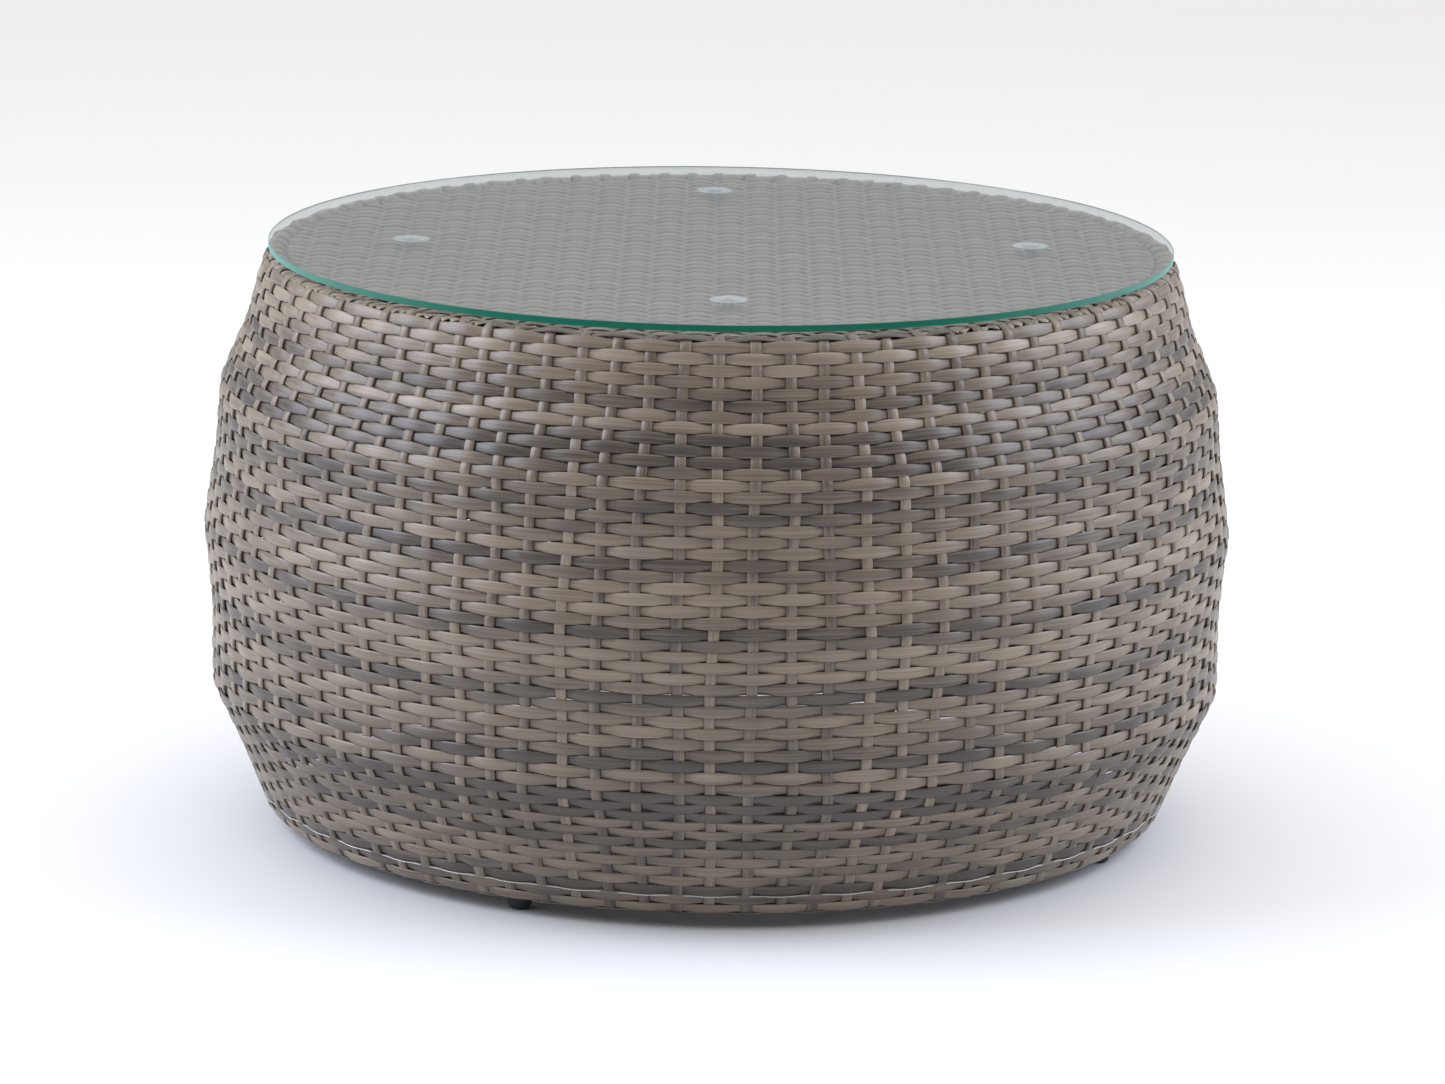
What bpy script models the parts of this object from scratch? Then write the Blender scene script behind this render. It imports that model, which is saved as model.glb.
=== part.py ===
"""A round wicker coffee table: a woven barrel on a hidden hoop-and-rib frame, with a lift-off glass top.

The table stands on its feet at z = 0, with the barrel's axis on +Z and its front at -Y.
Legs, ribs and feet are numbered anticlockwise from above, and each foot stands under its leg.
"""

from math import cos, pi, radians, sin

import bmesh
import bpy
from mathutils import Vector

# ---- Driving dimensions, in metres ----
HEIGHT = 0.458
GLASS_RADIUS = 0.353
GLASS_THICKNESS = 0.005
GLASS_EDGE_BEVEL = 0.0008
GAP = 0.0003

# The outside of the woven skin, as (height, radius) from the foot rim to the top rim.
SKIN_PROFILE = [
    (0.0300, 0.3615),
    (0.0700, 0.3775),
    (0.0950, 0.3890),
    (0.1120, 0.3970),
    (0.1700, 0.3975),
    (0.2120, 0.4010),
    (0.2320, 0.4035),
    (0.2530, 0.4010),
    (0.2950, 0.3950),
    (0.3450, 0.3910),
    (0.3700, 0.3810),
    (0.3950, 0.3700),
    (0.4310, 0.3610),
]
SKIN_THICKNESS = 0.0065

# Frame: rod radii of the two end rings, the three hoops and the ribs, and four leg tubes between the ribs.
RING_ROD = 0.005
HOOP_ROD = 0.004
RIB_ROD = 0.004
LEG_TUBE = 0.008
LEG_WALL = 0.0012
LEG_COUNT = 4
FIRST_LEG_ANGLE = radians(244.4)
HOOP_HEIGHTS = {"lower_hoop": 0.112, "middle_hoop": 0.232, "upper_hoop": 0.345}
HOOP_CLEARANCE = 0.0015

# The strand wrapped round each end ring, thicker on the outside, where it covers the ends of the skin.
WRAP_THICKNESS = 0.0034
WRAP_OUTER = RING_ROD + GAP + WRAP_THICKNESS
WRAP_SHIFT = 0.0035
TOP_RING_CENTRE = (0.3460, 0.4490 - WRAP_OUTER)
FOOT_RING_CENTRE = (0.3455, 0.0115 + WRAP_OUTER)

# A leg stands upright at the foot, inside the foot ring, and ends just inside the top ring.
LEG_FOOT_RADIUS = 0.3320
LEG_FOOT_HEIGHT = 0.0115
LEG_UPRIGHT_TOP = 0.0360
LEG_TOP = (TOP_RING_CENTRE[0] - 0.005, 0.4310)

# The woven deck under the glass, and the crossed bars that carry it.
DECK_RADIUS = 0.3360
DECK_TOP = 0.4470
DECK_THICKNESS = 0.0050
BAR_ROD = 0.005

# Glass pads: clear suction cups standing on the deck, a quarter turn apart, close to the bars.
PAD_CIRCLE_RADIUS = 0.242
FIRST_PAD_ANGLE = radians(1.5)
PAD_RADIUS = 0.0145
PAD_LIP_THICKNESS = 0.0010
PAD_STEM_RADIUS = 0.0040
PAD_DISH_DEPTH = 0.0012

# Feet: tapered plastic glides, whose stems push up into the leg tubes.
FOOT_TOP_RADIUS = 0.0105
FOOT_BOTTOM_RADIUS = 0.0088
FOOT_EDGE_RADIUS = 0.0035
FOOT_SHOULDER = LEG_FOOT_HEIGHT - GAP
STEM_RADIUS = 0.0058
STEM_TOP = 0.0300

# Facets
ROUND_STEPS = 48
GLASS_STEPS = 96
ROD_SIDES = 8
WRAP_FACETS = 5
SMALL_STEPS = 16

# Colours, as linear RGB, with roughness and metallic
STRAND_TAUPE = ((0.34, 0.30, 0.26), 0.45, 0.0)
FRAME_GREY = ((0.10, 0.095, 0.09), 0.5, 0.0)
GLASS_GREEN = ((0.55, 0.80, 0.72), 0.05, 0.0)
PAD_CLEAR = ((0.80, 0.88, 0.90), 0.2, 0.0)
FOOT_GREY = ((0.06, 0.06, 0.065), 0.6, 0.0)


def clear_scene():
    """Start from an empty file."""
    for item in list(bpy.data.objects):
        bpy.data.objects.remove(item, do_unlink=True)


def material(name, look):
    """One named Principled material, made the first time that it is asked for."""
    found = bpy.data.materials.get(name)
    if found:
        return found
    colour, roughness, metallic = look
    made = bpy.data.materials.new(name)
    made.use_nodes = True
    shader = made.node_tree.nodes["Principled BSDF"]
    shader.inputs["Base Color"].default_value = (*colour, 1.0)
    shader.inputs["Roughness"].default_value = roughness
    shader.inputs["Metallic"].default_value = metallic
    return made


def add_part(name, mesh_data, slot, look, smooth_angle=radians(40)):
    """Turn a bmesh into a named, smooth-shaded object with its own material."""
    bmesh.ops.recalc_face_normals(mesh_data, faces=mesh_data.faces)
    mesh = bpy.data.meshes.new(name)
    mesh_data.to_mesh(mesh)
    mesh_data.free()
    mesh.shade_smooth()
    mesh.set_sharp_from_angle(angle=smooth_angle)
    mesh.materials.append(material(slot, look))
    part = bpy.data.objects.new(name, mesh)
    bpy.context.scene.collection.objects.link(part)
    return part


def arc(centre, radius, start, end, steps):
    """Points on an arc in the (radius, height) plane, from one angle to another, ends included."""
    points = []
    for step in range(steps + 1):
        angle = start + (end - start) * step / steps
        points.append((centre[0] + radius * cos(angle), centre[1] + radius * sin(angle)))
    return points


def turned_solid(outline, steps):
    """Revolve an outline of (radius, height) points about +Z.

    An outline that starts and ends on the axis gives a solid disc; any other is a closed loop, and gives a ring.
    """
    solid = bmesh.new()
    on_axis = outline[0][0] == 0.0
    rows = []
    for radius, height in outline:
        if radius == 0.0:
            rows.append([solid.verts.new((0.0, 0.0, height))])
            continue
        row = []
        for step in range(steps):
            angle = 2 * pi * step / steps
            row.append(solid.verts.new((radius * cos(angle), radius * sin(angle), height)))
        rows.append(row)
    pairs = list(zip(rows, rows[1:]))
    if not on_axis:
        pairs.append((rows[-1], rows[0]))
    for first, second in pairs:
        for step in range(steps):
            after = (step + 1) % steps
            corners = [first[step % len(first)], first[after % len(first)]]
            corners += [second[after % len(second)], second[step % len(second)]]
            solid.faces.new(list(dict.fromkeys(corners)))
    return solid


def rod_ring(centre, rod_radius):
    """A round rod bent into a hoop; centre is (hoop radius, height)."""
    section = arc(centre, rod_radius, 0.0, 2 * pi, ROD_SIDES)[:-1]
    return turned_solid(section, ROUND_STEPS)


def rod_rows(solid, points, rod_radius):
    """Rings of vertices round a line of points that lies in one upright or level plane, mitred at each bend."""
    span = points[-1] - points[0]
    sideways = span.cross(Vector((points[0].x, points[0].y, 0.0)))
    if sideways.length < GAP ** 2:
        sideways = span.cross(Vector((0.0, 0.0, 1.0)))
    sideways.normalize()
    rows = []
    for index, point in enumerate(points):
        before = points[max(index - 1, 0)]
        after = points[min(index + 1, len(points) - 1)]
        across = (after - before).normalized().cross(sideways)
        row = []
        for side in range(ROD_SIDES):
            angle = 2 * pi * side / ROD_SIDES
            offset = sideways * cos(angle) + across * sin(angle)
            row.append(solid.verts.new(point + offset * rod_radius))
        rows.append(row)
    return rows


def join_rows(solid, rows):
    """Faces between each ring of vertices and the next."""
    for first, second in zip(rows, rows[1:]):
        for side in range(ROD_SIDES):
            after = (side + 1) % ROD_SIDES
            solid.faces.new((first[side], first[after], second[after], second[side]))


def bent_rod(points, rod_radius):
    """A solid round rod with flat ends."""
    solid = bmesh.new()
    rows = rod_rows(solid, points, rod_radius)
    join_rows(solid, rows)
    solid.faces.new(rows[0])
    solid.faces.new(rows[-1])
    return solid


def bent_tube(points, tube_radius, wall):
    """A round tube, open at both ends."""
    solid = bmesh.new()
    outer = rod_rows(solid, points, tube_radius)
    inner = rod_rows(solid, points, tube_radius - wall)
    join_rows(solid, outer + inner[::-1] + outer[:1])
    return solid


def skin_radius(height):
    """The woven skin's outer radius at a height, read along its straight-sided profile."""
    for (low, low_radius), (high, high_radius) in zip(SKIN_PROFILE, SKIN_PROFILE[1:]):
        if low <= height <= high:
            share = (height - low) / (high - low)
            return low_radius + (high_radius - low_radius) * share
    raise ValueError("height is outside the woven skin")


def hoop_radius(height):
    """A hoop's centre line lies just inside the skin."""
    return skin_radius(height) - SKIN_THICKNESS - HOOP_CLEARANCE - HOOP_ROD


def leg_angles():
    """The directions of the legs and feet, seen from above."""
    return [FIRST_LEG_ANGLE + 2 * pi * index / LEG_COUNT for index in range(LEG_COUNT)]


def points_at(angle, line):
    """Turn (radius, height) pairs into points in the vertical plane at an angle."""
    return [Vector((radius * cos(angle), radius * sin(angle), height)) for radius, height in line]


def build_glass():
    """Clear toughened glass with a small ground bevel on both edges; its top is the table's top."""
    underside = HEIGHT - GLASS_THICKNESS
    outline = [
        (0.0, underside),
        (GLASS_RADIUS - GLASS_EDGE_BEVEL, underside),
        (GLASS_RADIUS, underside + GLASS_EDGE_BEVEL),
        (GLASS_RADIUS, HEIGHT - GLASS_EDGE_BEVEL),
        (GLASS_RADIUS - GLASS_EDGE_BEVEL, HEIGHT),
        (0.0, HEIGHT),
    ]
    add_part("glass_top", turned_solid(outline, GLASS_STEPS), "glass", GLASS_GREEN)


def build_glass_pads():
    """Suction cups: a dished lip against the glass, tapering to a stem that stands on the deck."""
    lip_top = HEIGHT - GLASS_THICKNESS - GAP
    stem_foot = DECK_TOP + GAP
    stem_top = (lip_top + stem_foot) / 2
    outline = [
        (0.0, stem_foot),
        (PAD_STEM_RADIUS, stem_foot),
        (PAD_STEM_RADIUS, stem_top),
        (PAD_RADIUS, lip_top - PAD_LIP_THICKNESS),
        (PAD_RADIUS, lip_top),
        (PAD_RADIUS * 0.8, lip_top),
        (0.0, lip_top - PAD_DISH_DEPTH),
    ]
    for index, side in enumerate(("right", "back", "left", "front")):
        pad = add_part(f"glass_pad_{side}", turned_solid(outline, SMALL_STEPS), "clear_pad", PAD_CLEAR)
        angle = FIRST_PAD_ANGLE + index * pi / 2
        pad.location = (PAD_CIRCLE_RADIUS * cos(angle), PAD_CIRCLE_RADIUS * sin(angle), 0.0)


def build_deck():
    """The flat woven disc that shows through the glass."""
    bottom = DECK_TOP - DECK_THICKNESS
    outline = [(0.0, bottom), (DECK_RADIUS, bottom), (DECK_RADIUS, DECK_TOP), (0.0, DECK_TOP)]
    add_part("deck_weave", turned_solid(outline, ROUND_STEPS), "strand", STRAND_TAUPE)


def build_deck_bars():
    """One bar runs from side to side, and two half bars meet it from the front and the back."""
    height = DECK_TOP - DECK_THICKNESS - GAP - BAR_ROD
    reach = TOP_RING_CENTRE[0] - RING_ROD - GAP
    near = BAR_ROD + GAP
    ends = {
        "deck_bar_cross": (Vector((-reach, 0, height)), Vector((reach, 0, height))),
        "deck_bar_front": (Vector((0, -reach, height)), Vector((0, -near, height))),
        "deck_bar_back": (Vector((0, near, height)), Vector((0, reach, height))),
    }
    for name, points in ends.items():
        add_part(name, bent_rod(points, BAR_ROD), "frame", FRAME_GREY)


def build_frame_rings():
    """The top ring and the three hoops that give the barrel its shape."""
    add_part("top_ring", rod_ring(TOP_RING_CENTRE, RING_ROD), "frame", FRAME_GREY)
    for name, height in HOOP_HEIGHTS.items():
        add_part(name, rod_ring((hoop_radius(height), height), HOOP_ROD), "frame", FRAME_GREY)


def build_foot_rails():
    """Equal arcs of rod, end to end, make the foot ring; each joint is within a step of a leg."""
    radius, height = FOOT_RING_CENTRE
    step_angle = 2 * pi / ROUND_STEPS
    steps = ROUND_STEPS // LEG_COUNT
    end_trim = RING_ROD * sin(step_angle / 2) + GAP / 2
    for index, leg_angle in enumerate(leg_angles()):
        first_step = round(leg_angle / step_angle)
        angles = [(first_step + step) * step_angle for step in range(steps + 1)]
        points = [Vector((radius * cos(angle), radius * sin(angle), height)) for angle in angles]
        points[0] += (points[1] - points[0]).normalized() * end_trim
        points[-1] += (points[-2] - points[-1]).normalized() * end_trim
        add_part(f"foot_rail_{index + 1}", bent_rod(points, RING_ROD), "frame", FRAME_GREY)


def line_inside_hoops(rod_radius):
    """Where an upright of this radius touches the flats inside each hoop, as (radius, height)."""
    inside = HOOP_ROD + GAP + rod_radius
    flat = cos(pi / ROUND_STEPS)
    return [(hoop_radius(height) * flat - inside, height) for height in HOOP_HEIGHTS.values()]


def build_legs():
    """Four tubes: upright over the feet, then bent out to the hoops and in to the top ring."""
    line = [(LEG_FOOT_RADIUS, LEG_FOOT_HEIGHT), (LEG_FOOT_RADIUS, LEG_UPRIGHT_TOP)]
    line += line_inside_hoops(LEG_TUBE)
    line += [LEG_TOP]
    for index, angle in enumerate(leg_angles()):
        tube = bent_tube(points_at(angle, line), LEG_TUBE, LEG_WALL)
        add_part(f"leg_{index + 1}", tube, "frame", FRAME_GREY)


def build_ribs():
    """Rods halfway between the legs, from the top of the foot ring to the underside of the top ring."""
    standoff = RING_ROD + GAP + RIB_ROD / 2
    line = [(FOOT_RING_CENTRE[0], FOOT_RING_CENTRE[1] + standoff)]
    line += line_inside_hoops(RIB_ROD)
    line += [(TOP_RING_CENTRE[0], TOP_RING_CENTRE[1] - standoff)]
    for index, angle in enumerate(leg_angles()):
        rod = bent_rod(points_at(angle + pi / LEG_COUNT, line), RIB_ROD)
        add_part(f"rib_{index + 1}", rod, "frame", FRAME_GREY)


def build_side_weave():
    """The woven skin over the hoops: a thin shell with the weave's outer shape, open at both ends."""
    outer = [(radius, height) for height, radius in SKIN_PROFILE]
    inner = [(radius - SKIN_THICKNESS, height) for radius, height in outer]
    outline = outer + inner[::-1]
    add_part("side_weave", turned_solid(outline, ROUND_STEPS), "strand", STRAND_TAUPE)


def wrap_outline(centre, start, end):
    """A band of strand round part of an end ring's rod, between two angles of its section."""
    half_facet = abs(end - start) / WRAP_FACETS / 2
    outside = arc((centre[0] + WRAP_SHIFT, centre[1]), WRAP_OUTER, start, end, WRAP_FACETS)
    inside = arc(centre, (RING_ROD + GAP) / cos(half_facet), end, start, WRAP_FACETS)
    return outside + inside


def build_wraps():
    """Strand ends wrapped over the top ring and under the foot ring."""
    rim = wrap_outline(TOP_RING_CENTRE, radians(-10), radians(140))
    add_part("rim_wrap", turned_solid(rim, ROUND_STEPS), "strand", STRAND_TAUPE)
    hem = wrap_outline(FOOT_RING_CENTRE, radians(-120), radians(30))
    add_part("foot_wrap", turned_solid(hem, ROUND_STEPS), "strand", STRAND_TAUPE)


def build_feet():
    """Tapered glides with a rounded bottom edge and a stem that pushes into the leg tube."""
    edge_centre = (FOOT_BOTTOM_RADIUS - FOOT_EDGE_RADIUS, FOOT_EDGE_RADIUS)
    outline = [(0.0, 0.0)]
    outline += arc(edge_centre, FOOT_EDGE_RADIUS, -pi / 2, 0.0, 3)
    outline += [
        (FOOT_TOP_RADIUS, FOOT_SHOULDER),
        (STEM_RADIUS, FOOT_SHOULDER),
        (STEM_RADIUS, STEM_TOP),
        (0.0, STEM_TOP),
    ]
    for index, angle in enumerate(leg_angles()):
        foot = add_part(f"foot_{index + 1}", turned_solid(outline, SMALL_STEPS), "foot", FOOT_GREY)
        foot.location = (LEG_FOOT_RADIUS * cos(angle), LEG_FOOT_RADIUS * sin(angle), 0.0)


clear_scene()
build_glass()
build_glass_pads()
build_deck()
build_deck_bars()
build_frame_rings()
build_foot_rails()
build_legs()
build_ribs()
build_side_weave()
build_wraps()
build_feet()
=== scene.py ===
from math import cos, pi, radians, sin, tau

import bpy
import numpy as np
from mathutils import Matrix, Vector


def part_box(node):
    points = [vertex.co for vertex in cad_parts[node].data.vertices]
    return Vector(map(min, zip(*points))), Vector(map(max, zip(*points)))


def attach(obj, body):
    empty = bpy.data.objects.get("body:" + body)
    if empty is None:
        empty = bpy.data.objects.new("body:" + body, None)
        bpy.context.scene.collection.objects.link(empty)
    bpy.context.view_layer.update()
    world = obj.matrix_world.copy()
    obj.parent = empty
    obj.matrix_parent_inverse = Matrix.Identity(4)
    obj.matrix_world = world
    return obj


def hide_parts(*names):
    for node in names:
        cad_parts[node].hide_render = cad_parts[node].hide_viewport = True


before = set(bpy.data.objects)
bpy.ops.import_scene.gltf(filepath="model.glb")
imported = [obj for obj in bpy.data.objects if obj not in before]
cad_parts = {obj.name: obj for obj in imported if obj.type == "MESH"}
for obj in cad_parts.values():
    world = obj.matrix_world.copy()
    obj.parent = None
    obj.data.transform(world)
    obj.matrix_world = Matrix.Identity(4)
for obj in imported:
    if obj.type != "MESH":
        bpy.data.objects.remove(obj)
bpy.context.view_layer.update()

# Looks for a round wicker coffee table. Every woven strand is real geometry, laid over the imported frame.
# Lengths are in metres. The barrel's axis is +Z, its front is at -Y, and angles grow from the front to +X.

# ---- The side weave ----
ROW_PITCH = 0.0082
ROW_COUNT = 53
HEM_ROWS = 2
TOP_ROW_HEIGHT = 0.4427
BOTTOM_ROW_HEIGHT = 0.0163
STAKE_COUNT = 88
STEPS_PER_STAKE = 6
STAKE_STEPS_PER_ROW = 3
STRAND_RISE = 0.0011
WEFT_HALF_WIDTH = 0.0047
# A level strand narrows by this share where it passes behind a stake.
WEFT_TAPER = 0.18
WEFT_SWING = 0.0014
# About the distance from stake to stake round the side, which sets the length of the grain.
STAKE_SPACING = 0.028
STAKE_HALF_WIDTH = 0.0043
STAKE_SWING = 0.0006
STAKE_RISE = 0.0013
CREST = WEFT_SWING + STRAND_RISE
WRAP_LIFT = 0.0017
RIM_TURN = radians(165)
HEM_TURN = radians(-150)
# The row whose lower edge carries the painted highlight line.
HIGHLIGHT_LINE_ROW = 50

# The level strands swing less near the foot, where the weave is pulled tight.
FADE_ROWS = (ROW_COUNT - 14, ROW_COUNT - 3, ROW_COUNT)
FADE_SHARES = (1.0, 0.7, 0.4)

# ---- The strands bound over the rim ----
BINDINGS_PER_STAKE = 3
BINDING_STEPS = 10

# They stop this far above the top row, and further above it at the front, within about this many degrees.
BINDING_STOP = 0.004
FRONT_BINDING_STOP = 0.009
FRONT_SPREAD = 30

# They reach this far in past the top of the ring.
BINDING_REACH = 0.014

# The strand is variegated: these rows of the side, counted from the top, come out darkest.
DARK_ROWS = (-1, 5, 10, 15, 20, 25.5, 31.5, 37, 41.5, 45.5, 50.5, 56)

# Painted shade: the strand is painted darker down the side, quickly at first, standing in for the lower side
# getting less light.
FOOT_PAINTED_SHADE = 0.28
PAINTED_SHADE_POWER = 0.6

# ---- The deck weave ----
DECK_STAKE_PITCH = 0.0243
DECK_STAKE_OFFSET = 0.0073
DECK_SWING = 0.0018
DECK_TONE_ROWS = 5.2

# ---- Colours, as linear RGB ----
STRAND_DARK = (0.068, 0.053, 0.044)
STRAND_MIDDLE = (0.200, 0.156, 0.113)
STRAND_LIGHT = (0.350, 0.286, 0.215)
# The palest stop, reached mainly by the painted highlight line.
STRAND_PALE = (0.700, 0.690, 0.650)
PLASTIC_DARK = (0.018, 0.019, 0.020)
PLASTIC_LIGHT = (0.045, 0.046, 0.048)
COAT_DARK = (0.05, 0.047, 0.044)
COAT_LIGHT = (0.09, 0.085, 0.08)
LAMP_BLUE = (0.74, 0.81, 1.0)

FOOT_RAILS = [f"foot_rail_{index}" for index in range(1, 5)]

rng = np.random.default_rng(36)


# ---- Shape helpers ----
def smooth_noise(points, period, roughness):
    """Values in about -1..1 that wander smoothly along 0..period and close on themselves."""
    wave_count = 6
    phases = rng.uniform(0, tau, wave_count)
    turns = rng.integers(1, roughness + 1, wave_count)
    total = sum(np.sin(tau * turn * points / period + phase) for turn, phase in zip(turns, phases))
    return total / wave_count * 1.5


def looped(points, knots):
    """Read evenly spaced knots on a closed loop: knots[j] sits at point j."""
    count = len(knots)
    return np.interp(points % count, np.arange(count + 1), np.append(knots, knots[0]))


def uneven(places, amount):
    """A small random change at each stake, blended in between."""
    return looped(places, rng.uniform(-amount, amount, STAKE_COUNT))


def strand_section(front_points, back_points, squareness):
    """A flat-topped dome with a shallower back, as (across, out) pairs from -1 to 1."""
    power = 2 / squareness
    section = []
    for angle in np.linspace(0, pi, front_points):
        across = np.sign(cos(angle)) * abs(cos(angle)) ** power
        section.append((across, sin(angle) ** power))
    for across in np.linspace(-0.8, 0.8, back_points):
        section.append((across, -0.4))
    return np.array(section)


class Strands:
    """Woven strands gathered into one mesh, with what the strand material reads stored on their points."""

    def __init__(self, name, section):
        self.name = name
        self.section = section
        self.points = []
        self.facts = []
        self.tones = []
        self.quads = []
        self.ends = []
        self.count = 0

    def add(self, line, half_width, rise, along, tone, split=0.0):
        """Sweep the section along a line of (centres, sideways, outward); split paints one edge lighter and
        the other darker, as painted light and shade.
        """
        centre, side, out = line
        steps, facets = len(centre), len(self.section)
        across, lift = self.section.T
        half_width = np.broadcast_to(half_width, steps)[:, None]
        offset = side[:, None, :] * (half_width * across)[..., None]
        offset = offset + out[:, None, :] * (rise * lift)[None, :, None]
        facts = np.empty((steps, facets, 3))
        facts[..., 0] = np.asarray(along)[:, None]
        facts[..., 1] = across * half_width
        facts[..., 2] = rng.uniform(0, 50)
        self.points.append((centre[:, None, :] + offset).reshape(-1, 3))
        self.facts.append(facts.reshape(-1, 3))
        # The split term is painted light and shade across the strand's width.
        self.tones.append((np.asarray(tone)[:, None] + split * across).ravel())

        grid = np.arange(steps * facets).reshape(steps, facets) + self.count
        here, after = grid[:-1], grid[1:]
        corners = [here, after, np.roll(after, -1, axis=1), np.roll(here, -1, axis=1)]
        quads = np.stack(corners, -1).reshape(-1, 4)
        ends = [grid[0], grid[-1][::-1]]
        turns_inward = np.dot(np.cross(centre[1] - centre[0], side[0]), out[0]) > 0
        if turns_inward:
            quads = quads[:, ::-1]
            ends = [end[::-1] for end in ends]
        self.quads.append(quads)
        self.ends += ends
        self.count += steps * facets

    def build(self, material, replaced):
        """Make the object, with smooth faces, and say what it rides on and stands for."""
        quads = np.concatenate(self.quads)
        loops = np.concatenate([quads.ravel()] + self.ends).astype(np.int32)
        sizes = np.concatenate([np.full(len(quads), 4), [len(end) for end in self.ends]])
        starts = (np.cumsum(sizes) - sizes).astype(np.int32)
        points = np.concatenate(self.points).astype(np.float32)
        mesh = bpy.data.meshes.new(self.name)
        mesh.vertices.add(len(points))
        mesh.vertices.foreach_set("co", points.ravel())
        mesh.loops.add(len(loops))
        mesh.loops.foreach_set("vertex_index", loops)
        mesh.polygons.add(len(starts))
        mesh.polygons.foreach_set("loop_start", starts)
        mesh.update(calc_edges=True)
        facts = np.concatenate(self.facts).astype(np.float32)
        mesh.attributes.new("strand", "FLOAT_VECTOR", "POINT").data.foreach_set("vector", facts.ravel())
        tones = np.concatenate(self.tones).astype(np.float32)
        mesh.attributes.new("tone", "FLOAT", "POINT").data.foreach_set("value", tones)
        mesh.shade_smooth()
        place_piece(self.name, mesh, material, "base", replaced)


def place_piece(name, mesh, material, body, replaced):
    """Put a finished mesh in the scene as a piece of the table."""
    mesh.materials.append(material)
    piece = bpy.data.objects.new(name, mesh)
    bpy.context.scene.collection.objects.link(piece)
    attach(piece, body)
    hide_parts(*replaced)
    return piece


def turned_mesh(name, outline, steps, centre=(0.0, 0.0)):
    """Revolve an open outline of (radius, height) points that starts and ends on the axis."""
    points, faces, rows = [], [], []
    for radius, height in outline:
        count = steps if radius > 0 else 1
        rows.append(list(range(len(points), len(points) + count)))
        for step in range(count):
            angle = tau * step / steps
            points.append((centre[0] + radius * cos(angle), centre[1] + radius * sin(angle), height))
    for first, second in zip(rows, rows[1:]):
        for step in range(steps):
            after = (step + 1) % steps
            corners = [first[step % len(first)], first[after % len(first)]]
            corners += [second[after % len(second)], second[step % len(second)]]
            faces.append(list(dict.fromkeys(corners)))
    mesh = bpy.data.meshes.new(name)
    mesh.from_pydata(points, [], faces)
    mesh.shade_smooth()
    mesh.set_sharp_from_angle(angle=radians(35))
    return mesh


# ---- Materials ----
def new_material(name):
    """An empty node material, with its shader and a function that adds nodes to it."""
    material = bpy.data.materials.new(name)
    material.use_nodes = True
    nodes = material.node_tree.nodes
    shader = nodes["Principled BSDF"]

    def node(kind, **settings):
        made = nodes.new(kind)
        for key, value in settings.items():
            setattr(made, key, value)
        return made

    return material, shader, node, material.node_tree.links.new


def stretched_noise(node, link, vector, scale, size, detail=2.0):
    """Noise whose grain is stretched by a scale on each axis."""
    mapping = node("ShaderNodeMapping")
    mapping.inputs["Scale"].default_value = scale
    link(vector, mapping.inputs["Vector"])
    noise = node("ShaderNodeTexNoise")
    noise.inputs["Scale"].default_value = size
    noise.inputs["Detail"].default_value = detail
    link(mapping.outputs["Vector"], noise.inputs["Vector"])
    return noise.outputs["Fac"]


def weighted(node, link, value, weight, offset):
    """value * weight + offset."""
    math = node("ShaderNodeMath", operation="MULTIPLY_ADD")
    math.inputs[1].default_value = weight
    math.inputs[2].default_value = offset
    link(value, math.inputs[0])
    return math.outputs["Value"]


def added(node, link, first, second):
    """first + second."""
    math = node("ShaderNodeMath", operation="ADD")
    link(first, math.inputs[0])
    link(second, math.inputs[1])
    return math.outputs["Value"]


def strand_material():
    """Variegated taupe strand: its stored tone, which also carries painted light and shade, with lengthwise
    streaks, slow drift and fine grooves.
    """
    material, shader, node, link = new_material("woven_strand")
    facts = node("ShaderNodeAttribute", attribute_name="strand").outputs["Vector"]
    tone = node("ShaderNodeAttribute", attribute_name="tone").outputs["Fac"]
    streaks = stretched_noise(node, link, facts, (9.0, 700.0, 1.0), 1.0, 3.0)
    drift = stretched_noise(node, link, facts, (5.0, 150.0, 3.0), 1.0, 1.0)
    total = added(node, link, tone, weighted(node, link, streaks, 0.80, -0.40))
    total = added(node, link, total, weighted(node, link, drift, 0.36, -0.18))
    ramp = node("ShaderNodeValToRGB")
    stops = ramp.color_ramp.elements
    stops[0].position, stops[0].color = 0.0, (*STRAND_DARK, 1)
    stops[1].position, stops[1].color = 0.9, (*STRAND_PALE, 1)
    stops.new(0.21).color = (*STRAND_MIDDLE, 1)
    stops.new(0.44).color = (*STRAND_LIGHT, 1)
    stops.new(0.70).color = (*STRAND_LIGHT, 1)
    link(weighted(node, link, total, 0.5, 0.0), ramp.inputs["Fac"])
    link(ramp.outputs["Color"], shader.inputs["Base Color"])
    grooves = stretched_noise(node, link, facts, (20.0, 1500.0, 1.0), 1.0, 2.0)
    bump = node("ShaderNodeBump")
    bump.inputs["Strength"].default_value = 0.7
    bump.inputs["Distance"].default_value = 0.0004
    link(grooves, bump.inputs["Height"])
    link(bump.outputs["Normal"], shader.inputs["Normal"])
    link(weighted(node, link, streaks, 0.25, 0.22), shader.inputs["Roughness"])
    shader.inputs["Specular IOR Level"].default_value = 0.65
    return material


def glass_material():
    """Clear glass with the faint green of its thickness."""
    material, shader, node, link = new_material("clear_glass")
    shader.inputs["Base Color"].default_value = (0.972, 0.996, 0.988, 1)
    shader.inputs["Transmission Weight"].default_value = 1.0
    shader.inputs["IOR"].default_value = 1.52
    position = node("ShaderNodeTexCoord").outputs["Object"]
    smears = stretched_noise(node, link, position, (1.0, 1.0, 1.0), 6.0, 3.0)
    link(weighted(node, link, smears, 0.02, 0.0), shader.inputs["Roughness"])
    return material


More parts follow.
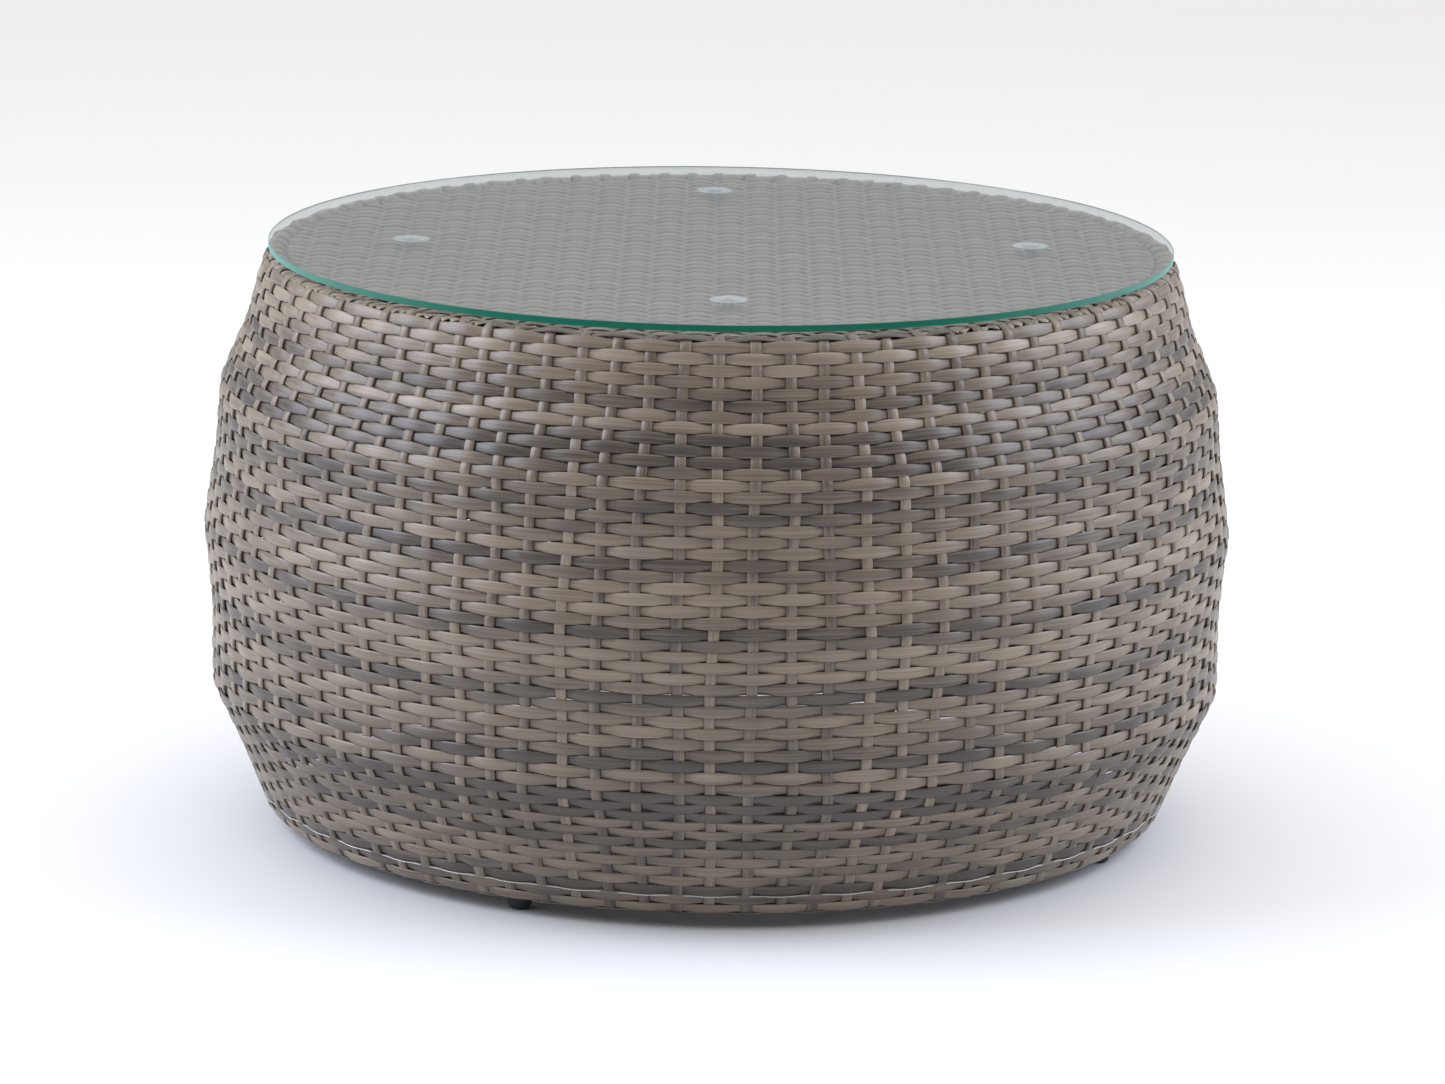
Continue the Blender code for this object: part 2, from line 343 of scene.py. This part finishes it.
def glass_edge_material():
    """The ground edge: deep green face on, and painted paler where it turns away from view, a painted
    reflection of its grazing sheen.
    """
    material, shader, node, link = new_material("glass_edge")
    # Painted reflection: the facing ramp lightens the edge's colour toward grazing views.
    facing = node("ShaderNodeLayerWeight")
    facing.inputs["Blend"].default_value = 0.5
    ramp = node("ShaderNodeValToRGB")
    stops = ramp.color_ramp.elements
    stops[0].position, stops[0].color = 0.15, (0.0005, 0.170, 0.105, 1)
    stops[1].position, stops[1].color = 0.95, (0.20, 0.42, 0.36, 1)
    link(facing.outputs["Facing"], ramp.inputs["Fac"])
    link(ramp.outputs["Color"], shader.inputs["Base Color"])
    position = node("ShaderNodeTexCoord").outputs["Object"]
    grind = stretched_noise(node, link, position, (1.0, 1.0, 1.0), 900.0, 2.0)
    link(weighted(node, link, grind, 0.15, 0.12), shader.inputs["Roughness"])
    shader.inputs["Specular IOR Level"].default_value = 0.0
    shader.inputs["Transmission Weight"].default_value = 0.3
    shader.inputs["IOR"].default_value = 1.52
    return material


def pad_material():
    """Clear soft plastic, slightly blue and cloudy, and darker in the middle, over the stem."""
    material, shader, node, link = new_material("clear_pad")
    position = node("ShaderNodeTexCoord").outputs["Object"]
    cloud = stretched_noise(node, link, position, (1.0, 1.0, 1.0), 250.0, 2.0)
    spread = node("ShaderNodeAttribute", attribute_name="spread").outputs["Fac"]
    ramp = node("ShaderNodeValToRGB")
    stops = ramp.color_ramp.elements
    stops[0].position, stops[0].color = 0.36, (0.30, 0.46, 0.55, 1)
    stops[1].position, stops[1].color = 0.58, (0.93, 0.98, 1.0, 1)
    link(added(node, link, spread, weighted(node, link, cloud, 0.3, -0.15)), ramp.inputs["Fac"])
    link(ramp.outputs["Color"], shader.inputs["Base Color"])
    link(weighted(node, link, cloud, 0.2, 0.15), shader.inputs["Roughness"])
    shader.inputs["Transmission Weight"].default_value = 0.1
    shader.inputs["IOR"].default_value = 1.45
    return material


def grained_material(name, dark, light, roughness, grain, bump_depth):
    """Painted or moulded stock: a fine grain in colour, gloss and bump."""
    material, shader, node, link = new_material(name)
    position = node("ShaderNodeTexCoord").outputs["Object"]
    speckle = stretched_noise(node, link, position, (1.0, 1.0, 1.0), grain, 3.0)
    ramp = node("ShaderNodeValToRGB")
    stops = ramp.color_ramp.elements
    stops[0].position, stops[0].color = 0.35, (*dark, 1)
    stops[1].position, stops[1].color = 0.65, (*light, 1)
    link(speckle, ramp.inputs["Fac"])
    link(ramp.outputs["Color"], shader.inputs["Base Color"])
    link(weighted(node, link, speckle, 0.2, roughness - 0.1), shader.inputs["Roughness"])
    bump = node("ShaderNodeBump")
    bump.inputs["Strength"].default_value = 0.6
    bump.inputs["Distance"].default_value = bump_depth
    link(speckle, bump.inputs["Height"])
    link(bump.outputs["Normal"], shader.inputs["Normal"])
    return material


# ---- The barrel's surface ----
def outer_outline(node_name):
    """A turned CAD node's outermost radius at each of its heights, lowest first."""
    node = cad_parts[node_name]
    levels = {}
    for vertex in node.data.vertices:
        point = node.matrix_world @ vertex.co
        height = round(point.z, 4)
        levels[height] = max(levels.get(height, 0.0), point.xy.length)
    return sorted(levels.items())


def crest_profile():
    """Heights and outermost radii of the side, from the foot wrap's widest point to the rim wrap's."""
    foot = max(outer_outline("foot_wrap"), key=lambda level: level[1])
    rim = max(outer_outline("rim_wrap"), key=lambda level: level[1])
    return np.array([foot] + outer_outline("side_weave") + [rim]).T


def rod_of(names):
    """The centre radius, height and rod radius of a rod ring, which may be in several arcs."""
    boxes = [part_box(name) for name in names]
    low = min(box[0][2] for box in boxes)
    high = max(box[1][2] for box in boxes)
    reach = max(box[1][0] for box in boxes)
    rod = (high - low) / 2
    return reach - rod, (low + high) / 2, rod


def skin_line():
    """The weave's middle surface in an upright plane: over the top ring, down the side, under the foot ring.

    Returns rows of distance along it, radius, height, and how far outward and upward its normal points.
    """
    crest_heights, crest_radii = crest_profile()
    rim_radius, rim_height, rod = rod_of(["top_ring"])
    hem_radius, hem_height, _ = rod_of(FOOT_RAILS)
    side_points, turn_points = 400, 60
    heights = np.linspace(rim_height, hem_height, side_points)
    radii = np.interp(heights, crest_heights, crest_radii) - CREST
    over = np.linspace(RIM_TURN, 0, turn_points)
    over_lift = np.interp(over, [0, pi / 2], [radii[0] - rim_radius, rod + WRAP_LIFT])
    under = np.linspace(0, HEM_TURN, turn_points)
    under_lift = np.interp(-under, [0, pi / 2], [radii[-1] - hem_radius, rod + WRAP_LIFT])
    rim = np.stack([rim_radius + over_lift * np.cos(over), rim_height + over_lift * np.sin(over)], -1)
    hem = np.stack([hem_radius + under_lift * np.cos(under), hem_height + under_lift * np.sin(under)], -1)
    line = np.concatenate([rim[:-1], np.stack([radii, heights], -1), hem[1:]])
    step = 0.0005
    lengths = np.append(0, np.cumsum(np.linalg.norm(np.diff(line, axis=0), axis=1)))
    distance = np.arange(0, lengths[-1], step)
    line = np.stack([np.interp(distance, lengths, line[:, axis]) for axis in range(2)])
    ease = 7
    window = np.ones(2 * ease + 1) / (2 * ease + 1)
    padded = np.pad(line, ((0, 0), (ease, ease)), mode="edge")
    line = np.stack([np.convolve(row, window, "valid") for row in padded])
    tangent = np.gradient(line, axis=1)
    tangent /= np.linalg.norm(tangent, axis=0)
    return np.stack([distance, line[0], line[1], -tangent[1], tangent[0]])


SKIN_DISTANCE, SKIN_RADIUS, SKIN_HEIGHT, SKIN_OUT, SKIN_UP = skin_line()


def row_table():
    """The distance along the skin line of every row, with a few more rows past each end of the side.

    The rows are evenly spaced from the one whose crest is at the top height to the one at the bottom.
    """
    crest_heights = SKIN_HEIGHT + CREST * SKIN_UP
    top, bottom = np.argmax(crest_heights), np.argmin(crest_heights)
    side = slice(bottom, top, -1)
    ends = np.interp([TOP_ROW_HEIGHT, BOTTOM_ROW_HEIGHT], crest_heights[side], SKIN_DISTANCE[side])
    rows = np.arange(ROW_COUNT)
    distances = np.linspace(ends[0], ends[1], ROW_COUNT)
    spare = np.arange(1, 5)
    before = distances[0] - ROW_PITCH * spare[::-1]
    after = distances[-1] + ROW_PITCH * spare
    return np.concatenate([-spare[::-1], rows, rows[-1] + spare]), np.concatenate([before, distances, after])


ROW_NUMBERS, ROW_DISTANCES = row_table()


def lumps(angle, distance):
    """The barrel is hand woven, so it is a little out of round, but not at its two rings."""
    share = np.clip(distance / SKIN_DISTANCE[-1], 0, 1)
    wander = 0.0006 * np.sin(3 * angle + 9 * distance) + 0.0005 * np.sin(5 * angle - 14 * distance + 1.0)
    wander = wander + 0.0003 * np.sin(11 * angle + 40 * distance + 2.0)
    return wander * np.sin(pi * share)


def skin_line_at(angle, distance, lift):
    """Points lifted off the middle surface, with the unit vectors up it and out of it."""
    out_radial = np.interp(distance, SKIN_DISTANCE, SKIN_OUT)
    out_up = np.interp(distance, SKIN_DISTANCE, SKIN_UP)
    radius = np.interp(distance, SKIN_DISTANCE, SKIN_RADIUS) + lumps(angle, distance) + lift * out_radial
    height = np.interp(distance, SKIN_DISTANCE, SKIN_HEIGHT) + lift * out_up
    east, north = np.sin(angle), -np.cos(angle)
    centre = np.stack([radius * east, radius * north, height], -1)
    up = np.stack([-out_up * east, -out_up * north, out_radial], -1)
    out = np.stack([out_radial * east, out_radial * north, out_up], -1)
    return centre, up, out


STAKE_LEAN = rng.uniform(-0.05, 0.05, STAKE_COUNT)


def stake_angle(place, distance):
    """The angle of a place counted in stakes; stakes wander a little on their way down."""
    wander = 0.05 * np.sin(place * 0.9 + distance * 14) + 0.04 * np.sin(place * 2.3 - distance * 31 + 1)
    return tau * (place + looped(place, STAKE_LEAN) + wander) / STAKE_COUNT


def row_distance(row, angle):
    """Where a row runs along the skin line; neighbouring rows wander together."""
    wander = 0.0006 * np.sin(4 * angle + row * 0.13) + 0.0004 * np.sin(9 * angle - row * 0.21 + 2)
    fade = np.clip(min(row + 1, ROW_COUNT - 1 - row) / 6, 0, 1)
    return np.interp(row, ROW_NUMBERS, ROW_DISTANCES) + wander * fade


def over_under(place, row):
    """1 where a row is in front of a stake, -1 where it is behind, steep in between."""
    wave = np.cos(pi * (place + row))
    return wave * (1.2 - 0.2 * wave ** 2)


def row_tone(turn):
    """0 on a dark row to 1 between two dark rows; a turn is a row number that may be a fraction."""
    phase = np.interp(turn, DARK_ROWS, np.arange(len(DARK_ROWS)))
    return 0.5 - 0.5 * np.cos(tau * phase)


def painted_foot_shade(row):
    """How much darker the strand is painted at a row than at the rim: painted shade for the lesser light
    lower down.
    """
    return FOOT_PAINTED_SHADE * np.clip(row / ROW_COUNT, 0, 1) ** PAINTED_SHADE_POWER


def weft_line(row, place):
    """The line of one row's strand, and its half width."""
    weave = over_under(place, row)
    distance = row_distance(row, tau * place / STAKE_COUNT) + uneven(place, 0.00015)
    swing = WEFT_SWING * np.interp(row, FADE_ROWS, FADE_SHARES)
    lift = swing * weave * (1 + uneven(place, 0.12))
    taper = 1 - WEFT_TAPER * (0.5 - 0.5 * weave)
    half_width = WEFT_HALF_WIDTH * taper * (1 + uneven(place, 0.02))
    return skin_line_at(stake_angle(place, distance), distance, lift), half_width


def build_side_wefts(material):
    """The level strands that weave in front of and behind the stakes, in three bands of rows.

    Each strand starts and ends behind the same stake, so its joint is hidden.
    """
    section = strand_section(7, 2, 3.0)
    bands = {
        "weft_upper": range(0, 18),
        "weft_middle": range(18, 36),
        "weft_lower": range(36, ROW_COUNT + HEM_ROWS),
    }
    for name, rows in bands.items():
        band = Strands(name, section)
        for row in rows:
            hidden_stake = 2 * rng.integers(0, STAKE_COUNT // 2) + 1 - row % 2
            place = hidden_stake + np.arange(STAKE_COUNT * STEPS_PER_STAKE + 1) / STEPS_PER_STAKE
            line, half_width = weft_line(row, place)
            turn = row + 0.8 * sin(row) + 0.5 * np.sin(tau * place / STAKE_COUNT + 1.5)
            # The last term subtracts painted shade that darkens the lower rows.
            tone = 0.21 + 0.50 * row_tone(turn) - painted_foot_shade(row)
            tone += 0.14 * smooth_noise(place, STAKE_COUNT, 20)
            tone += uneven(place, 0.09)
            # split=0.05 paints each weft's upper edge lighter and its lower edge darker: painted light from
            # above.
            band.add(line, half_width, STRAND_RISE, place * STAKE_SPACING, tone, split=0.05)
        band.build(material, ["side_weave"])


def build_stakes(material):
    """The upright strands: in over the top ring, down the side, and in under the foot ring."""
    stakes = Strands("stakes", strand_section(4, 2, 8.0))
    step = ROW_PITCH / STAKE_STEPS_PER_ROW
    distance = np.arange(0, SKIN_DISTANCE[-1], step)
    row = np.interp(distance, ROW_DISTANCES, ROW_NUMBERS)
    for stake in range(STAKE_COUNT):
        lift = -STAKE_SWING * over_under(stake, row)
        lift = np.where((row < -1) | (row > ROW_COUNT + HEM_ROWS), STAKE_SWING, lift)
        angle = stake_angle(np.full(len(distance), float(stake)), distance)
        centre, up, out = skin_line_at(angle, distance, lift)
        side = np.cross(up, out)
        tone = 0.48 + rng.uniform(-0.18, 0.18) + 0.08 * smooth_noise(distance, SKIN_DISTANCE[-1], 6)
        # Stakes take a share of the same painted shade, darker toward the foot.
        tone -= 0.6 * painted_foot_shade(row)
        # The split paints one side of each stake lighter and the other darker: painted light and shade, as
        # on a lit ridge.
        split = rng.uniform(0.06, 0.20) * rng.choice([-1, -1, 1])
        stakes.add((centre, side, out), STAKE_HALF_WIDTH, STAKE_RISE, distance, tone, split)
    stakes.build(material, ["side_weave"])


def build_painted_highlight_line(material):
    """One thin pale filament runs along the lower edge of a row near the foot, as a painted highlight: light
    caught on that edge.
    """
    filament = Strands("painted_highlight_line", strand_section(4, 1, 2.0))
    place = np.arange(STAKE_COUNT * STEPS_PER_STAKE + 1) / STEPS_PER_STAKE
    weave = over_under(place, HIGHLIGHT_LINE_ROW)
    distance = row_distance(HIGHLIGHT_LINE_ROW, tau * place / STAKE_COUNT) + WEFT_HALF_WIDTH + 0.0002
    lift = 0.7 * WEFT_SWING * np.maximum(weave, -0.1) + 0.0012
    line = skin_line_at(stake_angle(place, distance), distance, lift)
    # The tone of 1.8 paints the filament pale, a painted highlight.
    filament.add(line, 0.0004, 0.0005, place * STAKE_SPACING, np.full(len(place), 1.8))
    filament.build(material, ["foot_wrap"])


def build_rim_binding(material):
    """Between the stakes, bound strands cross the top ring side by side, and slant more at the front."""
    binding = Strands("rim_binding", strand_section(5, 2, 2.8))
    over_end = SKIN_DISTANCE[np.argmax(SKIN_HEIGHT)]
    top_row = ROW_DISTANCES[ROW_NUMBERS == 0][0]
    for index in range(STAKE_COUNT * BINDINGS_PER_STAKE):
        is_stake = index % BINDINGS_PER_STAKE == 0
        place = index / BINDINGS_PER_STAKE
        from_front = min(place, STAKE_COUNT - place) / STAKE_COUNT * 360
        front = np.exp(-(from_front / FRONT_SPREAD) ** 2)
        doubled = front > 0.5 and index % BINDINGS_PER_STAKE == 2
        if is_stake or doubled:
            continue
        outer = top_row - BINDING_STOP - FRONT_BINDING_STOP * front
        distance = np.linspace(outer, max(over_end - BINDING_REACH, 0), BINDING_STEPS)
        share = np.linspace(0, 1, len(distance))
        slant = radians(0.8 + 4.0 * front + rng.uniform(-0.9, 0.9))
        angle = stake_angle(np.full(len(distance), place), distance) + slant * (share - 0.4)
        lift = np.full(len(distance), rng.uniform(-0.0006, 0.0002))
        centre, up, out = skin_line_at(angle, distance, lift)
        along = np.gradient(centre, axis=0)
        side = np.cross(along, out)
        side /= np.linalg.norm(side, axis=1)[:, None]
        half_width = STAKE_HALF_WIDTH * rng.uniform(0.92, 1.04)
        tone = np.full(len(distance), rng.uniform(0.45, 0.90))
        # The last argument, 0.08, paints one side of each bound strand lighter and the other darker: painted
        # light and shade.
        binding.add((centre, side, out), half_width, STRAND_RISE * 0.9, share * 0.02, tone, 0.08)

    # One more level strand lies over them at the front.
    reach = 7 * STEPS_PER_STAKE
    place = np.arange(-reach, reach + 1) / STEPS_PER_STAKE
    line, half_width = weft_line(-1, place)
    tone = 0.2 + 0.1 * smooth_noise(place, STAKE_COUNT, 9)
    binding.add(line, half_width * 0.9, STRAND_RISE, place * STAKE_SPACING, tone)
    binding.build(material, ["rim_wrap"])


def level_line(east, north, height):
    """A line in the deck, with its sideways and upward vectors."""
    centre = np.stack([east, north, height], -1)
    along = np.gradient(centre, axis=0)
    up = np.tile([0.0, 0.0, 1.0], (len(centre), 1))
    side = np.cross(up, along)
    side /= np.linalg.norm(side, axis=1)[:, None]
    return centre, side, up


def build_deck(material):
    """A flat weave under the glass: stakes run front to back, and rows from side to side."""
    low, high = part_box("deck_weave")
    reach = high[0] + 0.002
    middle = high[2] - DECK_SWING - STRAND_RISE
    wefts = Strands("deck_rows", strand_section(6, 1, 2.6))
    row_reach = int(reach / ROW_PITCH)
    for row in range(-row_reach, row_reach + 1):
        north = row * ROW_PITCH
        half = np.sqrt(reach ** 2 - north ** 2)
        if half < DECK_STAKE_PITCH:
            continue
        east = np.linspace(-half, half, int(2 * half / DECK_STAKE_PITCH * STEPS_PER_STAKE))
        place = (east - DECK_STAKE_OFFSET) / DECK_STAKE_PITCH
        weave = over_under(place, row)
        height = middle + DECK_SWING * weave * (1 + uneven(place, 0.2))
        wander = 0.0006 * np.sin(east * 17 + row * 0.1) + uneven(place, 0.0004)
        # The 0.30 * weave term is painted light and shade: each row is painted lighter where it rides over a
        # stake and darker where it dives under one.
        tone = 0.42 - 0.20 * np.cos(tau * (row + east) / DECK_TONE_ROWS) + 0.30 * weave + uneven(place, 0.10)
        line = level_line(east, north + wander, height)
        wefts.add(line, WEFT_HALF_WIDTH + 0.0003 * weave, STRAND_RISE, east, tone)
    wefts.build(material, ["deck_weave"])

    stakes = Strands("deck_stakes", strand_section(4, 2, 8.0))
    stake_reach = int((reach - 3 * STAKE_HALF_WIDTH) / DECK_STAKE_PITCH)
    for stake in range(-stake_reach, stake_reach + 1):
        east = DECK_STAKE_OFFSET + stake * DECK_STAKE_PITCH
        half = np.sqrt(reach ** 2 - east ** 2)
        north = np.arange(-half, half, ROW_PITCH / STAKE_STEPS_PER_ROW)
        height = middle - STAKE_SWING * over_under(stake, north / ROW_PITCH)
        tone = 0.40 + rng.uniform(-0.15, 0.15) + 0.1 * smooth_noise(north, 1.0, 10)
        line = level_line(east + 0.0008 * np.sin(north * 21 + stake), north, height)
        # The last argument, 0.08, paints one side of each deck stake lighter and the other darker: painted
        # light and shade.
        stakes.add(line, STAKE_HALF_WIDTH, STAKE_RISE, north, tone, 0.08)
    stakes.build(material, ["deck_weave"])


def build_glass():
    """The glass plate, with a small bevel on both edges and its ground edge in its own material."""
    low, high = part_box("glass_top")
    radius, bevel = high[0], 0.0004
    outline = [
        (0.0, low[2]),
        (radius - bevel, low[2]),
        (radius, low[2] + bevel),
        (radius, high[2] - bevel),
        (radius - bevel, high[2]),
        (0.0, high[2]),
    ]
    mesh = turned_mesh("glass_plate", outline, 256)
    plate = place_piece("glass_plate", mesh, glass_material(), "glass", ["glass_top"])
    plate.data.materials.append(glass_edge_material())
    for face in plate.data.polygons:
        if abs(face.normal.z) < 0.9:
            face.material_index = 1


def build_pads(material):
    """Suction cups: a wide thin lip against the glass, a waisted body and a stem on the deck."""
    for side in ("right", "back", "left", "front"):
        low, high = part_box(f"glass_pad_{side}")
        centre = ((low[0] + high[0]) / 2, (low[1] + high[1]) / 2)
        radius = (high[0] - low[0]) / 2
        height = high[2] - low[2]
        outline = [
            (0.0, low[2]),
            (radius * 0.27, low[2]),
            (radius * 0.30, low[2] + height * 0.12),
            (radius * 0.30, low[2] + height * 0.35),
            (radius * 0.40, low[2] + height * 0.50),
            (radius * 0.70, low[2] + height * 0.68),
            (radius * 0.96, low[2] + height * 0.86),
            (radius, low[2] + height * 0.95),
            (radius * 0.985, high[2]),
            (radius * 0.92, high[2] - 0.0002),
            (radius * 0.60, high[2] - 0.0009),
            (radius * 0.25, high[2] - 0.0013),
            (0.0, high[2] - 0.0013),
        ]
        name = f"suction_pad_{side}"
        mesh = turned_mesh(name, outline, 48, centre)
        spread = [(vertex.co.xy - Vector(centre)).length / radius for vertex in mesh.vertices]
        mesh.attributes.new("spread", "FLOAT", "POINT").data.foreach_set("value", spread)
        place_piece(name, mesh, material, "base", [f"glass_pad_{side}"])


def build_feet(material):
    """Moulded glides: a shoulder under the leg, tapering sides and a rounded bottom."""
    for index in range(1, 5):
        low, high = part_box(f"foot_{index}")
        centre = ((low[0] + high[0]) / 2, (low[1] + high[1]) / 2)
        top = (high[0] - low[0]) / 2
        shoulder = 0.0112
        bottom, edge = top * 0.82, 0.0038
        outline = [(0.0, 0.0)]
        for step in range(9):
            angle = -pi / 2 + pi / 2 * step / 8
            outline.append((bottom - edge + edge * cos(angle), edge + edge * sin(angle)))
        outline += [
            (top - 0.0003, shoulder - 0.0012),
            (top, shoulder - 0.0006),
            (top - 0.0003, shoulder),
            (0.0058, shoulder),
            (0.0058, high[2] - 0.001),
            (0.0048, high[2]),
            (0.0, high[2]),
        ]
        mesh = turned_mesh(f"glide_{index}", outline, 40, centre)
        place_piece(f"glide_{index}", mesh, material, "base", [f"foot_{index}"])


def finish_frame(material):
    """The hidden frame keeps its CAD shape and takes a powder coat."""
    names = ["top_ring", "upper_hoop", "middle_hoop", "lower_hoop"] + FOOT_RAILS
    names += [f"leg_{index}" for index in range(1, 5)] + [f"rib_{index}" for index in range(1, 5)]
    names += ["deck_bar_cross", "deck_bar_front", "deck_bar_back"]
    for name in names:
        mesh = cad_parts[name].data
        if not mesh.materials:
            mesh.materials.append(material)
        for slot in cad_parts[name].material_slots:
            slot.material = material


# ---- Studio ----
def build_camera():
    """The camera stands in front, a little above the top, with a long lens and a slight tilt."""
    place = Vector((0.0, -5.0, 1.3465))
    target = Vector((0.0048, 0.0, 0.2166))
    tilt = 0.0163
    ahead = (target - place).normalized()
    right = ahead.cross(Vector((0, 0, 1))).normalized()
    up = right.cross(ahead)
    right, up = right * cos(tilt) + up * sin(tilt), up * cos(tilt) - right * sin(tilt)
    camera = bpy.data.objects.new("camera", bpy.data.cameras.new("camera"))
    camera.data.lens = 161.8
    camera.data.sensor_width = 36.0
    turn = Matrix((right, up, -ahead)).transposed().to_4x4()
    camera.matrix_world = Matrix.Translation(place) @ turn
    bpy.context.scene.collection.objects.link(camera)
    bpy.context.scene.camera = camera


def area_light(name, place, size, power, colour):
    """A soft square lamp that points at the middle of the table."""
    lamp = bpy.data.lights.new(name, "AREA")
    lamp.size = size
    lamp.energy = power
    lamp.color = colour
    light = bpy.data.objects.new(name, lamp)
    light.location = place
    light.rotation_mode = "QUATERNION"
    aim = Vector((0, 0, 0.25)) - Vector(place)
    light.rotation_quaternion = aim.to_track_quat("-Z", "Y")
    bpy.context.scene.collection.objects.link(light)


def build_studio():
    """A plain pale floor under soft light from above and both sides."""
    bpy.context.scene.view_settings.view_transform = "Standard"
    half = 30.0
    mesh = bpy.data.meshes.new("floor")
    corners = [(-half, -half, 0), (half, -half, 0), (half, half, 0), (-half, half, 0)]
    mesh.from_pydata(corners, [], [(0, 1, 2, 3)])
    material, shader, _, _ = new_material("pale_floor")
    shader.inputs["Base Color"].default_value = (0.86, 0.86, 0.86, 1)
    shader.inputs["Roughness"].default_value = 0.9
    shader.inputs["Specular IOR Level"].default_value = 0.1
    mesh.materials.append(material)
    floor = bpy.data.objects.new("floor", mesh)
    bpy.context.scene.collection.objects.link(floor)

    build_surroundings()
    area_light("left_light", (-2.6, -0.35, 1.7), 2.2, 75.0, LAMP_BLUE)
    area_light("right_light", (2.6, -0.1, 1.7), 2.2, 58.0, LAMP_BLUE)


def build_surroundings():
    """A studio that is bright overhead, grey at the walls, and dark behind the camera."""
    world = bpy.data.worlds.new("studio")
    bpy.context.scene.world = world
    world.use_nodes = True
    nodes, link = world.node_tree.nodes, world.node_tree.links.new
    direction = nodes.new("ShaderNodeTexCoord")
    split = nodes.new("ShaderNodeSeparateXYZ")
    link(direction.outputs["Generated"], split.inputs["Vector"])
    by_height = nodes.new("ShaderNodeValToRGB")
    walls, overhead = by_height.color_ramp.elements
    walls.position, walls.color = 0.15, (0.25, 0.262, 0.270, 1)
    overhead.position, overhead.color = 0.65, (1.0, 0.985, 0.96, 1)
    link(split.outputs["Z"], by_height.inputs["Fac"])
    by_depth = nodes.new("ShaderNodeMapRange")
    by_depth.inputs["From Min"].default_value = -0.8
    by_depth.inputs["From Max"].default_value = 0.2
    by_depth.inputs["To Min"].default_value = 0.30
    by_depth.inputs["To Max"].default_value = 1.45
    link(split.outputs["Y"], by_depth.inputs["Value"])
    link(by_height.outputs["Color"], nodes["Background"].inputs["Color"])
    link(by_depth.outputs["Result"], nodes["Background"].inputs["Strength"])


build_camera()
build_studio()
strand = strand_material()
build_side_wefts(strand)
build_stakes(strand)
build_painted_highlight_line(strand)
build_rim_binding(strand)
build_deck(strand)
build_glass()
build_pads(pad_material())
build_feet(grained_material("foot_plastic", PLASTIC_DARK, PLASTIC_LIGHT, 0.6, 1400.0, 0.0002))
finish_frame(grained_material("powder_coat", COAT_DARK, COAT_LIGHT, 0.5, 900.0, 0.0001))
